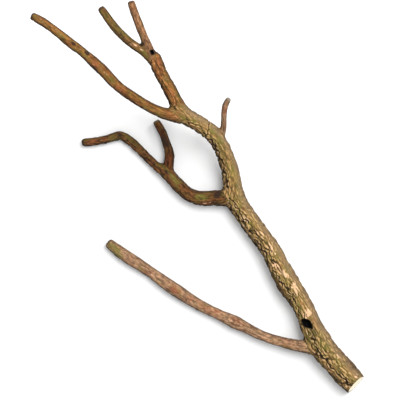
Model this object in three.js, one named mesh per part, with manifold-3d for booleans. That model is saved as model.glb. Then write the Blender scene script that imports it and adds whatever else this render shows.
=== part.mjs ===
// A fallen tree branch that lies on flat ground, sawn off at its butt and cut short at every tip.
//
// Units are millimetres. +Z is up from the ground, +Y runs from the sawn butt towards the tips, and the
// origin is at the bottom centre of the whole branch. A furrowed stem about 500 mm long lies low, and carries
// two side limbs that rest on the ground beside it. Beyond the middle fork it lifts off the ground, bends, and
// ends in a fork whose two limbs rise to nearly 120 mm. The wood is solid all through, and one branch grew in
// one piece, so it comes apart only where it forks: each limb is one body, parted from the limb that bears it
// by a thin cut across its root.
import * as THREE from "three";
import { mergeVertices } from "three/addons/utils/BufferGeometryUtils.js";
import Module from "manifold-3d";

// Driving dimensions.
const CUT_WIDTH = 0.3; // the gap that parts a limb from the one that bears it
const RING_STEP = 8; // spacing of the cross-sections along a limb
const OVAL = 0.035; // how far a cross-section is from round, as a share of its radius
const OVAL_TWIST = 150; // length of limb over which the oval turns once
const BUTT_SAW_TILT = 17; // degrees by which the sawn butt leans back from square, so that it faces up a little
const BUTT_TRIM = 0.8; // share of the stem's first stretch that the saw takes off, at mid height
const KNOT = { at: [58.8, -232.5], floor: 25, mouth: 6.5, bottom: 3.5 }; // the hollow of a lost side limb

// Each limb follows its path, a list of [x, y, z, radius] from its root to its sawn tip, and is parted from the
// limb that bears it at the length `cut` along that path. A side limb's path starts inside the limb that bears it.
const LIMBS = [
  {
    name: "main_stem",
    bark: "furrowed_bark",
    sides: 16,
    path: [
      [77, -371, 18.5, 14.5],
      [70.5, -345, 18.9, 18.2],
      [64, -312, 19.3, 18.6],
      [59.5, -278, 19.6, 18.8],
      [60.5, -249, 20, 17.3],
      [64.5, -222.1, 20.5, 15.8],
      [66.8, -199.1, 21, 15.4],
      [66, -169.1, 21, 17],
      [68, -141.1, 21, 16.2],
      [70, -109.1, 20, 15],
      [68, -76, 18.5, 14.8],
      [65.2, -43, 16.6, 15.1],
      [66, -20, 15.4, 15.4],
      [74.5, 2, 20, 13.9],
      [83.8, 24.9, 28.5, 13.4],
      [88.2, 50.8, 40, 12.2],
      [87.9, 74.6, 52, 12.8],
      [78.9, 97.4, 64, 12.2],
      [68.4, 116.8, 75, 12.1],
      [61.8, 133.2, 82, 12.4],
    ],
  },
  {
    name: "lower_side_limb",
    bark: "limb_bark",
    sides: 12,
    cut: 42,
    path: [
      [56, -277, 20, 13.4],
      [38, -263, 19.6, 10.3],
      [22.8, -250.4, 18.2, 8.4],
      [7.6, -234.6, 16.6, 7.6],
      [-10.2, -212.5, 15, 7.6],
      [-22.1, -193.3, 13.4, 8.2],
      [-32.1, -177.3, 12, 9.8],
      [-44.1, -158.9, 10.4, 8],
      [-64, -126.7, 9.4, 8.5],
      [-82.5, -88.3, 10.2, 9.8],
      [-99.4, -46.7, 8.8, 8.3],
      [-117, -9, 9.3, 9.2],
      [-127, 15.6, 8.3, 8.2],
      [-130, 24.5, 7.4, 7.2],
    ],
  },
  {
    name: "middle_side_limb",
    bark: "limb_bark",
    sides: 12,
    cut: 38,
    path: [
      [70, -23, 17, 15],
      [45.5, -7.1, 17, 12.2],
      [25.6, 3.8, 16, 11.4],
      [11.2, 19.1, 14.5, 10.5],
      [4.2, 41.4, 13, 9.9],
      [0.2, 64.1, 11.6, 9.8],
      [-7.8, 82.9, 9.4, 6.9],
      [-14, 108.3, 8, 6.6],
      [-20.4, 133, 7.6, 7],
      [-25.6, 145.2, 7.4, 7.2],
      [-31.5, 152, 7.3, 7.3],
      [-43, 154, 7.2, 6.6],
      [-62.8, 160.8, 7.6, 6.4],
      [-83.6, 171.2, 8.4, 5.8],
    ],
  },
  {
    name: "middle_limb_twig",
    bark: "twig_bark",
    sides: 10,
    cut: 20,
    path: [
      [1, 65.1, 11.6, 8.8],
      [13.4, 79.9, 12, 7.8],
      [20.4, 91.2, 12, 7.2],
      [23.4, 104.9, 11.4, 6.2],
      [26.6, 119.8, 10.4, 6.2],
      [27.1, 140.7, 9, 5.5],
    ],
  },
  {
    name: "stem_spur_twig",
    bark: "twig_bark",
    sides: 10,
    cut: 28,
    path: [
      [86.7, 60.7, 45, 9],
      [96.1, 67.7, 50, 6.6],
      [104, 74.1, 54, 4.8],
      [113, 87.5, 58, 4.2],
      [119, 96, 61, 4.2],
      [124.9, 102.8, 64, 5],
      [130.4, 106.1, 66, 4.5],
      [135.4, 107.8, 68, 3.8],
    ],
  },
  {
    name: "upper_left_limb",
    bark: "limb_bark",
    sides: 12,
    cut: 32,
    path: [
      [68.2, 116.8, 76, 11.9],
      [52.6, 129.3, 83, 10.3],
      [41.9, 139.1, 87, 8.5],
      [30.9, 155, 91, 7.7],
      [17.1, 181.5, 97, 7.7],
      [6.4, 207.5, 102, 7.7],
      [0.9, 235.5, 107, 8.3],
      [-3.8, 252.4, 110, 8],
      [-8.8, 269.3, 113, 6.8],
      [-17.7, 293.1, 117, 7.1],
      [-27.1, 319.7, 121, 6.1],
      [-34.8, 337.8, 124, 6.6],
      [-44.2, 353.2, 127, 5.8],
    ],
  },
  {
    name: "upper_right_limb",
    bark: "limb_bark",
    sides: 14,
    cut: 36,
    path: [
      [68.2, 116.8, 75, 11.9],
      [65.2, 130.2, 81, 11.9],
      [66.3, 146.1, 86, 10.3],
      [67.7, 165, 91, 10],
      [69.7, 189.8, 97, 9.5],
      [71.7, 202.7, 101, 10.1],
      [75.6, 211.7, 105, 7.6],
      [77.8, 218.6, 107, 5.4],
    ],
  },
  {
    name: "top_left_twig",
    bark: "twig_bark",
    sides: 10,
    cut: 41,
    path: [
      [70.7, 202.7, 102, 7.9],
      [67.7, 217.6, 105, 7.6],
      [63.7, 229.5, 107, 6.8],
      [57.8, 242.4, 110, 6.2],
      [50.2, 264.3, 115, 6.4],
      [46.8, 286.2, 120, 6.2],
      [45.5, 311.5, 125, 5.4],
    ],
  },
  {
    name: "top_right_twig",
    bark: "twig_bark",
    sides: 10,
    cut: 46,
    path: [
      [68.7, 195.8, 100, 8.4],
      [70.7, 212.6, 105, 7.4],
      [73.2, 224.6, 109, 6.8],
      [74.6, 238.5, 112, 6.1],
      [77.6, 255.4, 116, 6.1],
      [81.6, 275.2, 121, 6],
      [86.4, 296.1, 126, 5.4],
    ],
  },
];

const BARKS = {
  furrowed_bark: new THREE.MeshStandardMaterial({ color: 0x8a7142, roughness: 0.9, metalness: 0 }),
  limb_bark: new THREE.MeshStandardMaterial({ color: 0x8f6038, roughness: 0.85, metalness: 0 }),
  twig_bark: new THREE.MeshStandardMaterial({ color: 0x8a5f45, roughness: 0.85, metalness: 0 }),
};

const wasm = await Module();
wasm.setup();

// A closed three.js geometry as a manifold-3d solid.
function solidOf(geometry) {
  const bare = geometry.clone();
  bare.deleteAttribute("normal");
  bare.deleteAttribute("uv");
  const merged = mergeVertices(bare, 1e-4);
  return new wasm.Manifold(
    new wasm.Mesh({
      numProp: 3,
      vertProperties: new Float32Array(merged.attributes.position.array),
      triVerts: new Uint32Array(merged.index.array),
    }),
  );
}

// A manifold-3d solid as a three.js geometry with flat faces.
function geometryOf(solid) {
  const { numProp, numVert, vertProperties, triVerts } = solid.getMesh();
  const places = new Float32Array(numVert * 3);
  for (let i = 0; i < numVert; i++) {
    places.set(vertProperties.subarray(i * numProp, i * numProp + 3), i * 3);
  }
  const geometry = new THREE.BufferGeometry();
  geometry.setAttribute("position", new THREE.BufferAttribute(places, 3));
  geometry.setIndex(new THREE.BufferAttribute(triVerts, 1));
  const flat = geometry.toNonIndexed();
  flat.computeVertexNormals();
  return flat;
}

// The centre line of a limb, with its radius at any share of its length.
function spineOf(path) {
  const curve = new THREE.CatmullRomCurve3(path.map(([x, y, z]) => new THREE.Vector3(x, y, z)));
  const girth = new THREE.CatmullRomCurve3(path.map(([, , , r]) => new THREE.Vector3(r, 0, 0)));
  return {
    curve,
    length: curve.getLength(),
    radiusAt: (share) => girth.getPoint(curve.getUtoTmapping(share)).x,
  };
}

// A limb: a cylinder bent along its spine, with the spine's radius and a slightly oval section that turns.
function limbSolid({ path, sides }) {
  const { curve, length, radiusAt } = spineOf(path);
  const rings = Math.round(length / RING_STEP);
  const frames = curve.computeFrenetFrames(rings);
  const tube = new THREE.CylinderGeometry(1, 1, 1, sides, rings);
  const corner = tube.attributes.position;
  for (let i = 0; i < corner.count; i++) {
    // The cylinder's own axis is Y, from -0.5 at the root to 0.5 at the tip.
    const ring = Math.round((corner.getY(i) + 0.5) * rings);
    const share = ring / rings;
    const turn = Math.atan2(corner.getZ(i), corner.getX(i));
    const reach = Math.hypot(corner.getX(i), corner.getZ(i));
    const oval = 1 + OVAL * Math.cos(2 * turn + (2 * Math.PI * share * length) / OVAL_TWIST);
    const radius = reach * radiusAt(share) * oval;
    const place = curve
      .getPointAt(share)
      .addScaledVector(frames.normals[ring], radius * Math.cos(turn))
      .addScaledVector(frames.binormals[ring], -radius * Math.sin(turn));
    corner.setXYZ(i, place.x, place.y, place.z);
  }
  return solidOf(tube);
}

// The thin round blade that parts a limb from its bearer, square to the limb at its cut.
function bladeAt({ path, cut }) {
  const { curve, length, radiusAt } = spineOf(path);
  const share = cut / length;
  const blade = new THREE.CylinderGeometry(1.5 * radiusAt(share), 1.5 * radiusAt(share), CUT_WIDTH, 32);
  const along = curve.getTangentAt(share);
  blade.applyQuaternion(new THREE.Quaternion().setFromUnitVectors(new THREE.Vector3(0, 1, 0), along));
  blade.translate(...curve.getPointAt(share));
  return solidOf(blade);
}

// The waste beyond the sawn butt: a block whose face leans back over the stem's end.
function buttWaste([end, next]) {
  const side = 120;
  const outward = new THREE.Vector3(end[0] - next[0], end[1] - next[1], 0).normalize();
  const lean = THREE.MathUtils.degToRad(BUTT_SAW_TILT);
  const normal = outward.clone().multiplyScalar(Math.cos(lean)).setZ(Math.sin(lean));
  const block = new THREE.BoxGeometry(side, side, side);
  block.applyQuaternion(new THREE.Quaternion().setFromUnitVectors(new THREE.Vector3(0, 1, 0), normal));
  const middle = new THREE.Vector3(...end.slice(0, 3)).lerp(new THREE.Vector3(...next.slice(0, 3)), BUTT_TRIM);
  block.translate(...middle.addScaledVector(normal, side / 2));
  return solidOf(block);
}

// The blind hollow that a lost side limb left in the top of the stem.
function knotHollow() {
  const height = 30;
  const hollow = new THREE.CylinderGeometry(KNOT.mouth * 1.5, KNOT.bottom, height, 12);
  hollow.rotateX(Math.PI / 2);
  hollow.translate(...KNOT.at, KNOT.floor + height / 2);
  return solidOf(hollow);
}

// The body that reaches nearest to a point.
function nearestBody(bodies, point) {
  const gap = (body) => {
    const { numProp, numVert, vertProperties } = body.getMesh();
    let least = Infinity;
    for (let i = 0; i < numVert; i++) {
      const [x, y, z] = vertProperties.subarray(i * numProp, i * numProp + 3);
      least = Math.min(least, Math.hypot(x - point[0], y - point[1], z - point[2]));
    }
    return least;
  };
  return bodies.reduce((best, body) => (gap(body) < gap(best) ? body : best));
}

const [stem, ...sideLimbs] = LIMBS;
let wood = limbSolid(stem).subtract(buttWaste(stem.path)).subtract(knotHollow());
for (const limb of sideLimbs) wood = wood.add(limbSolid(limb));
for (const limb of sideLimbs) wood = wood.subtract(bladeAt(limb));
const bodies = wood.decompose();

const branch = new THREE.Group();
for (const limb of LIMBS) {
  const farEnd = limb === stem ? stem.path[1] : limb.path.at(-1);
  const mesh = new THREE.Mesh(geometryOf(nearestBody(bodies, farEnd)), BARKS[limb.bark]);
  mesh.name = limb.name;
  branch.add(mesh);
}

export default branch;
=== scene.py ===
"""Models a fallen tree branch lying on pale ground, for a camera straight above it.

The branch is one grown piece of wood. It is modelled as by hand: each limb is a circle that is extruded
along the limb, the limbs are grown together by a voxel remesh, the bark is raised by geometry nodes, and
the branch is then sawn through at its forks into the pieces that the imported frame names.
"""

import logging
import math
from dataclasses import dataclass, field
from enum import Enum
from itertools import pairwise

import bpy
import numpy as np
from mathutils import Matrix, Vector


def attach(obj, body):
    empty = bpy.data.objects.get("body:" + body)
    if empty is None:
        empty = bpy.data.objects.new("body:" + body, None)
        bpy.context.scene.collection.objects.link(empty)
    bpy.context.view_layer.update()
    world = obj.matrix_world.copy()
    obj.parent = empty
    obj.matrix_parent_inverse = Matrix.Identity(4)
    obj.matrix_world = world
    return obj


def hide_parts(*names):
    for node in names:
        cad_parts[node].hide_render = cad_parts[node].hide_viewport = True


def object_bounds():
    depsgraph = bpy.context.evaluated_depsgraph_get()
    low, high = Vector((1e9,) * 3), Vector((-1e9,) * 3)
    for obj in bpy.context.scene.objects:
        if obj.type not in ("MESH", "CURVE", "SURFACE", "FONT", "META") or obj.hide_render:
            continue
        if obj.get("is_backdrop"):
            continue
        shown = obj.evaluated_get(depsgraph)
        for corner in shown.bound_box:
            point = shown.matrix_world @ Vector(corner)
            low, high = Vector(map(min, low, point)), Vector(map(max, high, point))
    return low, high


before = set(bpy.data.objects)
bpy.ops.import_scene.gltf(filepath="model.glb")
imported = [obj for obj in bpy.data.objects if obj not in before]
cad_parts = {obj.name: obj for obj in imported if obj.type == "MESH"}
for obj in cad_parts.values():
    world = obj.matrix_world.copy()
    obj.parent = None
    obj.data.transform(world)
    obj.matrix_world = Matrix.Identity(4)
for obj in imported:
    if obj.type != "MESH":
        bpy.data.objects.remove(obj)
cad_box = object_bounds()

log = logging.getLogger("branch")

MM = 0.001
Pair = tuple[float, float]
Triple = tuple[float, float, float]
Quad = tuple[float, float, float, float]
Socket = bpy.types.NodeSocket
Piece = bpy.types.Object
Array = np.ndarray
Layers = dict[str, np.ndarray]


def linear(hex_colour: str) -> Quad:
    """Turns an sRGB colour into the linear one that Blender mixes.

    Args:
        hex_colour: The colour as six hexadecimal digits after a hash sign.

    Returns:
        Linear red, green, blue and an alpha of 1.
    """
    shares = [int(hex_colour[i : i + 2], 16) / 255 for i in (1, 3, 5)]
    return (*[s / 12.92 if s <= 0.04045 else ((s + 0.055) / 1.055) ** 2.4 for s in shares], 1.0)


def ease(value: Array, low: float, high: float) -> Array:
    """Rises smoothly from 0 at low to 1 at high; low may be the greater."""
    share = np.clip((value - low) / (high - low), 0, 1)
    return share * share * (3 - 2 * share)


class Mark(Enum):
    """What a local patch of bark shows. Each is stored on the mesh under its own name."""

    MOSS = "moss"
    BARE = "bare"
    STAIN = "stain"
    RUST = "rust"
    SMOOTH = "smooth"


@dataclass(frozen=True)
class BarkTone:
    """The colours of one limb's bark, as sRGB.

    Attributes:
        ridge: The worn faces of the bark.
        hollow: The streaks between them.
        crack: The bottom of the cracks, also painted into the hollows of the bark as shade.
        tip: The colour of the limb's end: aged bark, and on the dark ends partly painted shade where the
            rounded end turns from the light.
        moss: How green the whole limb is, from 0 to 1.
        speck: How many pale specks it has, from 0 to 1.
        edge: How much painted shade darkens its sides towards the ground, from 0 to 1.
    """

    ridge: str
    hollow: str
    crack: str
    tip: str = "#3A2A20"
    moss: float = 0.3
    speck: float = 0.3
    edge: float = 0.2


STEM_TONE = BarkTone("#997747", "#6D5630", "#3A2915", moss=0.4, speck=0.0, edge=0.0)
UPPER_TONE = BarkTone("#8E5B2E", "#683E1B", "#26180B", moss=0.27, speck=0.5, edge=1.0)
LOWER_LIMB_TONE = BarkTone("#A68264", "#836147", "#3E291B", "#45352C", moss=0.1, speck=1.0)
MIDDLE_LIMB_TONE = BarkTone("#69401E", "#3B220C", "#150C06", "#2E2019", moss=0.27, speck=0.2, edge=0.5)
MIDDLE_TWIG_TONE = BarkTone("#5E3213", "#321805", "#160C06", "#6E6656", moss=0.1, speck=0.1, edge=0.7)
TWIG_TONE = BarkTone("#916948", "#69492E", "#2E1D12", moss=0.1, speck=0.6)
OLIVE_TWIG_TONE = BarkTone("#74522C", "#51391A", "#2A1D0E", moss=0.3, speck=0.3, edge=0.6)
SPUR_TONE = BarkTone("#84644B", "#614B37", "#3A2B20", "#857C70", moss=0.0, speck=0.4)


@dataclass(frozen=True)
class Limb:
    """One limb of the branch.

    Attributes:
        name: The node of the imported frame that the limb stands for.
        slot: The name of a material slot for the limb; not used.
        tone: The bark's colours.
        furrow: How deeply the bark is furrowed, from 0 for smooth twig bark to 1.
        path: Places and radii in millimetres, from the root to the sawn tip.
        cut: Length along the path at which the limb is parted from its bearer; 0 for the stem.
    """

    name: str
    slot: str
    tone: BarkTone
    furrow: float
    path: tuple[Quad, ...]
    cut: float = 0.0


STEM = Limb(
    "main_stem", "furrowed_bark", STEM_TONE, furrow=1.0,
    path=(
        (77, -371, 18.5, 14.5), (70.5, -345, 18.9, 18.2), (64, -312, 19.3, 18.6),
        (59.5, -278, 19.6, 18.8), (60.5, -249, 20, 17.3), (64.5, -222.1, 20.5, 15.8),
        (66.8, -199.1, 21, 15.4), (66, -169.1, 21, 17), (68, -141.1, 21, 16.2), (70, -109.1, 20, 15),
        (68, -76, 18.5, 14.8), (65.2, -43, 16.6, 15.1), (66, -20, 15.4, 15.4), (74.5, 2, 20, 13.9),
        (83.8, 24.9, 28.5, 13.4), (88.2, 50.8, 40, 12.2), (87.9, 74.6, 52, 12.8),
        (78.9, 97.4, 64, 12.2), (68.4, 116.8, 75, 12.1), (61.8, 133.2, 82, 12.4),
    ),
)

SIDE_LIMBS = (
    Limb(
        "lower_side_limb", "limb_bark", LOWER_LIMB_TONE, furrow=0.18, cut=42,
        path=(
            (56, -277, 20, 13.4), (38, -263, 19.6, 10.3), (22.8, -250.4, 18.2, 8.4),
            (7.6, -234.6, 16.6, 7.6), (-10.2, -212.5, 15, 7.6), (-22.1, -193.3, 13.4, 8.2),
            (-32.1, -177.3, 12, 9.8), (-44.1, -158.9, 10.4, 8), (-64, -126.7, 9.4, 8.5),
            (-82.5, -88.3, 10.2, 9.8), (-99.4, -46.7, 8.8, 8.3), (-117, -9, 9.3, 9.2),
            (-127, 15.6, 8.3, 8.2), (-130, 24.5, 7.4, 7.2),
        ),
    ),
    Limb(
        "middle_side_limb", "limb_bark", MIDDLE_LIMB_TONE, furrow=0.55, cut=38,
        path=(
            (70, -23, 17, 15), (45.5, -7.1, 17, 12.2), (25.6, 3.8, 16, 11.4), (11.2, 19.1, 14.5, 10.5),
            (4.2, 41.4, 13, 9.9), (0.2, 64.1, 11.6, 9.8), (-7.8, 82.9, 9.4, 6.9), (-14, 108.3, 8, 6.6),
            (-20.4, 133, 7.6, 7), (-25.6, 145.2, 7.4, 7.2), (-31.5, 152, 7.3, 7.3),
            (-43, 154, 7.2, 6.6), (-62.8, 160.8, 7.6, 6.4), (-83.6, 171.2, 8.4, 5.8),
        ),
    ),
    Limb(
        "middle_limb_twig", "twig_bark", MIDDLE_TWIG_TONE, furrow=0.2, cut=20,
        path=(
            (1, 65.1, 11.6, 8.8), (13.4, 79.9, 12, 7.8), (20.4, 91.2, 12, 7.2),
            (23.4, 104.9, 11.4, 6.2), (26.6, 119.8, 10.4, 6.2), (27.1, 140.7, 9, 5.5),
        ),
    ),
    Limb(
        "stem_spur_twig", "twig_bark", SPUR_TONE, furrow=0.08, cut=28,
        path=(
            (86.7, 60.7, 45, 9), (96.1, 67.7, 50, 6.6), (104, 74.1, 54, 4.8), (113, 87.5, 58, 4.2),
            (119, 96, 61, 4.2), (124.9, 102.8, 64, 5), (130.4, 106.1, 66, 4.5), (135.4, 107.8, 68, 3.8),
        ),
    ),
    Limb(
        "upper_left_limb", "limb_bark", UPPER_TONE, furrow=0.22, cut=32,
        path=(
            (68.2, 116.8, 76, 11.9), (52.6, 129.3, 83, 10.3), (41.9, 139.1, 87, 8.5),
            (30.9, 155, 91, 7.7), (17.1, 181.5, 97, 7.7), (6.4, 207.5, 102, 7.7),
            (0.9, 235.5, 107, 8.3), (-3.8, 252.4, 110, 8), (-8.8, 269.3, 113, 6.8),
            (-17.7, 293.1, 117, 7.1), (-27.1, 319.7, 121, 6.1), (-34.8, 337.8, 124, 6.6),
            (-44.2, 353.2, 127, 5.8),
        ),
    ),
    Limb(
        "upper_right_limb", "limb_bark", UPPER_TONE, furrow=0.5, cut=36,
        path=(
            (68.2, 116.8, 75, 11.9), (65.2, 130.2, 81, 11.9), (66.3, 146.1, 86, 10.3),
            (67.7, 165, 91, 10), (69.7, 189.8, 97, 9.5), (71.7, 202.7, 101, 10.1),
            (75.6, 211.7, 105, 7.6), (77.8, 218.6, 107, 5.4),
        ),
    ),
    Limb(
        "top_left_twig", "twig_bark", OLIVE_TWIG_TONE, furrow=0.2, cut=41,
        path=(
            (70.7, 202.7, 102, 7.9), (67.7, 217.6, 105, 7.6), (63.7, 229.5, 107, 6.8),
            (57.8, 242.4, 110, 6.2), (50.2, 264.3, 115, 6.4), (46.8, 286.2, 120, 6.2),
            (45.5, 311.5, 125, 5.4),
        ),
    ),
    Limb(
        "top_right_twig", "twig_bark", TWIG_TONE, furrow=0.12, cut=46,
        path=(
            (68.7, 195.8, 100, 8.4), (70.7, 212.6, 105, 7.4), (73.2, 224.6, 109, 6.8),
            (74.6, 238.5, 112, 6.1), (77.6, 255.4, 116, 6.1), (81.6, 275.2, 121, 6),
            (86.4, 296.1, 126, 5.4),
        ),
    ),
)


@dataclass(frozen=True)
class Patch:
    """A local change of the bark on the side that faces up.

    Attributes:
        mark: What the patch shows.
        at: Its middle in the ground plan, in millimetres.
        reach: Its radii across and along the direction of turn, in millimetres.
        turn: The direction of its length in the ground plan, in degrees from +X.
        strength: Its greatest value, from 0 to 1.
    """

    mark: Mark
    at: Pair
    reach: Pair
    turn: float
    strength: float = 1.0

    def cover(self, plan: Array) -> Array:
        """How much of the patch each place in the ground plan gets.

        Args:
            plan: The places, in millimetres.

        Returns:
            From 0 to its strength for each place; it fades out round its edge.
        """
        turn = math.radians(self.turn)
        away = plan - np.array(self.at)
        long = away @ np.array([math.cos(turn), math.sin(turn)]) / self.reach[1]
        wide = away @ np.array([-math.sin(turn), math.cos(turn)]) / self.reach[0]
        return self.strength * ease(np.hypot(long, wide), 1.35, 0.35)


def patches(mark: Mark, *rows: tuple[float, ...]) -> list[Patch]:
    """Patches of one mark, each row with its place, reach, turn and strength."""
    return [Patch(mark, row[:2], row[2:4], *row[4:]) for row in rows]


PATCHES = (
    # Torn bark over the knot hole, rubbed places along the crown of the stem, and slivers on the limbs.
    *patches(
        Mark.BARE,
        (66.5, -221, 6.5, 8, 30), (71, -299, 3.5, 10, 110, 0.55), (78, -338, 5, 12, 110, 0.5),
        (64, -136, 4, 7, 90, 0.8), (68, -153, 5, 12, 110, 0.85), (71, -180, 5, 13, 80, 0.85),
        (72, -112, 5, 16, 90, 0.55), (63, -55, 4, 12, 90, 0.5), (70, -84, 4, 12, 90, 0.5),
        (28, -5, 2, 10, 150, 0.5), (2, 228, 2, 8, 105, 0.35), (30, 158, 2, 9, 118, 0.4),
        (46, 138, 2.5, 12, 135, 0.4), (58, 242, 3, 8, 125, 0.62), (64, 230, 2.5, 6, 125, 0.55),
    ),
    # The weathered strip beside the knot hole, the right flank of the stem, and the upper stem.
    *patches(
        Mark.SMOOTH,
        (73, -243, 9, 18, 85), (78, -140, 7, 60, 90, 0.35), (84, 14, 14, 44, 78, 0.75),
        (90, 74, 15, 40, 100, 0.75), (66, 128, 18, 20, 100, 0.6),
    ),
    # Damp spots by the knot hole and the butt, knots and scars on the limbs, and painted shade round the
    # rotted stub.
    *patches(
        Mark.STAIN,
        (72, -243, 4, 16, 80, 0.5), (59, -251, 5, 7, 80, 0.6), (82, -322, 7, 20, 100, 0.5),
        (47, -2, 6, 9, 0, 0.9), (0, 67, 3, 4, 90), (23, 106, 8, 14, 90, 0.9), (-30, 150, 7, 7, 90, 0.7),
        (-14, 288, 2.5, 5, 110), (-5, 267, 3, 6, 110), (-9, 240, 4.5, 11, 100),
        (8, 190, 2.5, 12, 108, 0.6), (-22, 298, 3, 14, 112, 0.5), (67.5, 237, 4, 4, 90),
        # The last stain is painted shade round the rotted stub.
        (74, 220, 4, 5, 90),
    ),
    # Reddish places where the outer bark has worn thin.
    *patches(
        Mark.RUST,
        (74, -240, 6, 18, 85, 0.5), (76, -292, 5, 12, 110, 0.5), (76, 0, 5, 12, 80, 0.4),
        (-82, -88, 7, 14, 115, 0.8), (-52, -142, 6, 30, 120, 0.5), (18, 2, 3, 22, 140, 0.6),
        (-62, 161, 5, 20, 160, 0.5), (-2, 244, 4, 10, 105, 0.7), (-38, 346, 4, 14, 115, 0.8),
        (56, 127, 5, 16, 140, 0.5), (60, 238, 4, 10, 118, 0.5), (74, 208, 5, 8, 90, 0.8),
    ),
    # Damp moss below the knot hole, down the butt, near the spur and on two limbs.
    *patches(
        Mark.MOSS,
        (52, -254, 10, 12, 90), (60, -274, 10, 13, 110, 0.8), (66, -300, 6, 20, 105, 0.7),
        (58, -214, 7, 18, 90, 0.6), (93, 64, 5, 9, 90), (89, 82, 5, 8, 90, 0.8),
        (74, 106, 6, 8, 90, 0.6), (-129, 10, 10, 18, 110, 0.75), (23, 10, 5, 9, 150, 0.9),
        (4, 52, 4, 14, 95, 0.7),
    ),
)


@dataclass(frozen=True)
class Hollow:
    """A hollow that goes down into the wood.

    Attributes:
        corners: Its mouth's corners in the ground plan, in millimetres, against the clock.
        mouth: The height at which the corners are taken, in millimetres.
        floor: The height of its floor, in millimetres.
        taper: The floor's size as a share of the mouth's.
        softened: How far its edges are rounded off, in millimetres.
    """

    corners: tuple[Pair, ...]
    mouth: float
    floor: float
    taper: float = 0.75
    softened: float = 1.2

    def cutter(self) -> Piece:
        """Models the solid that cuts the hollow.

        Returns:
            The solid: the mouth extruded down to the floor, with softened edges.
        """
        Shop.deselect()
        middle = np.mean(self.corners, axis=0)
        centre = Vector((*middle, self.floor)) * MM
        bpy.ops.mesh.primitive_circle_add(vertices=len(self.corners), radius=MM, fill_type="NGON")
        solid = bpy.context.object
        for vertex, corner in zip(solid.data.vertices, self.corners):
            vertex.co = Vector((*corner, self.mouth)) * MM
        Shop.mode("EDIT")
        drop = Vector((0, 0, (self.floor - self.mouth) * MM))
        bpy.ops.mesh.extrude_region_move(TRANSFORM_OT_translate={"value": drop})
        bpy.ops.transform.resize(value=(self.taper, self.taper, 1), center_override=centre)
        bpy.ops.mesh.select_all(action="SELECT")
        bpy.ops.mesh.normals_make_consistent(inside=False)
        bpy.ops.mesh.bevel(offset=self.softened * MM, segments=3)
        Shop.mode("OBJECT")
        return solid

    def holds(self, places: Array) -> Array:
        """How surely each place lies in the hollow or on its walls.

        Args:
            places: The places, in millimetres.

        Returns:
            From 0 to 1 for each place.
        """
        depth = np.full(len(places), np.inf)
        for here, there in zip(self.corners, (*self.corners[1:], self.corners[0])):
            edge = np.subtract(there, here)
            inward = np.array([-edge[1], edge[0]]) / np.linalg.norm(edge)
            depth = np.minimum(depth, (places[:, :2] - here) @ inward)
        return ease(depth, -0.5, 0.7) * (places[:, 2] > self.floor - 2)


KNOT_HOLE = Hollow(((61.5, -245.5), (64, -231), (54, -222.5), (50.5, -232), (55, -240)), 41, 22)
STUB_HOLLOW = Hollow(((71, 216.5), (75.5, 215.5), (77, 222), (73, 224)), 118, 107)


@dataclass(frozen=True)
class RingCrack:
    """A crack that runs round the upper stem.

    Attributes:
        at: A place on its line in the ground plan, in millimetres.
        lean: How far along the stem the crack moves for each millimetre across it.
        width: Its half width in millimetres.
    """

    at: Pair = (82, 88)
    lean: float = 0.45
    width: float = 1.1


@dataclass(frozen=True)
class Gully:
    """A long deep furrow down the stem.

    Attributes:
        way: Places on its line in the ground plan, in millimetres.
        width: Its half width in millimetres.
        depth: Its depth in millimetres.
    """

    way: tuple[Pair, ...]
    width: float = 1.5
    depth: float = 2.0

    def nearness(self, places: Array) -> Array:
        """How deep each place lies in the furrow.

        Args:
            places: The places, in millimetres.

        Returns:
            From 0 to 1 for each place.
        """
        x, y = places[:, 0], places[:, 1]
        # The line wavers by about a millimetre.
        wavering = x + 1.1 * np.sin(y / 2.9) + 0.8 * np.sin(y / 1.7 + 1)
        plan = np.stack([wavering, y + 0.8 * np.sin(y / 2.3)], axis=1)
        gap = np.full(len(plan), np.inf)
        for here, there in pairwise(self.way):
            step = np.subtract(there, here)
            share = ((plan - here) @ step / (step @ step)).clip(0, 1)
            gap = np.minimum(gap, np.linalg.norm(plan - here - share[:, None] * step, axis=1))
        # It opens and closes along its way.
        open_width = self.width * (0.75 + 0.45 * np.sin(y / 4.1) * np.sin(y / 7.3 + 1))
        return ease(gap / open_width, 1.3, 0.4)


GULLIES = (
    Gully(((53, -20), (54, -45), (57, -62), (58, -80), (59.5, -100), (60, -115), (57, -128), (58, -145))),
    Gully(((58, -145), (57, -160), (60, -175), (60, -190), (58, -205), (56, -222)), 1.3),
    Gully(((52, -256), (49, -280), (53, -300), (55, -315), (59, -330), (63, -345), (67, -357)), 1.8),
    Gully(((58, -15), (61, -30), (60, -45), (63, -62)), 1.1, 1.4),
    Gully(((65, -66), (63, -90), (66, -112), (63, -135)), 0.9, 1.2),
    Gully(((64, -2), (72, 18), (76.5, 32), (79, 48), (80.5, 60), (79, 72), (76, 84)), 1.6, 1.8),
)


@dataclass(frozen=True)
class Furrows:
    """The sizes of the furrowed bark's pattern, in millimetres.

    Attributes:
        plate: Width, thickness and length of a bark plate between the main cracks.
        braid: The same for the small ridges that run over the plates.
        drift: The same for the sweeps in which the pattern strays.
        wander: How far the pattern strays across and along the limb.
        depth: Depth of the main cracks.
        braid_depth: Depth of the grooves between the small ridges.
        streak: Width and length of the fine streaks.
    """

    plate: Triple = (8.5, 8.5, 30.0)
    braid: Triple = (5.0, 5.0, 14.0)
    drift: Triple = (13.0, 13.0, 24.0)
    wander: Triple = (10.0, 10.0, 20.0)
    depth: float = 1.6
    braid_depth: float = 1.5
    streak: Pair = (1.5, 20.0)


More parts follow.
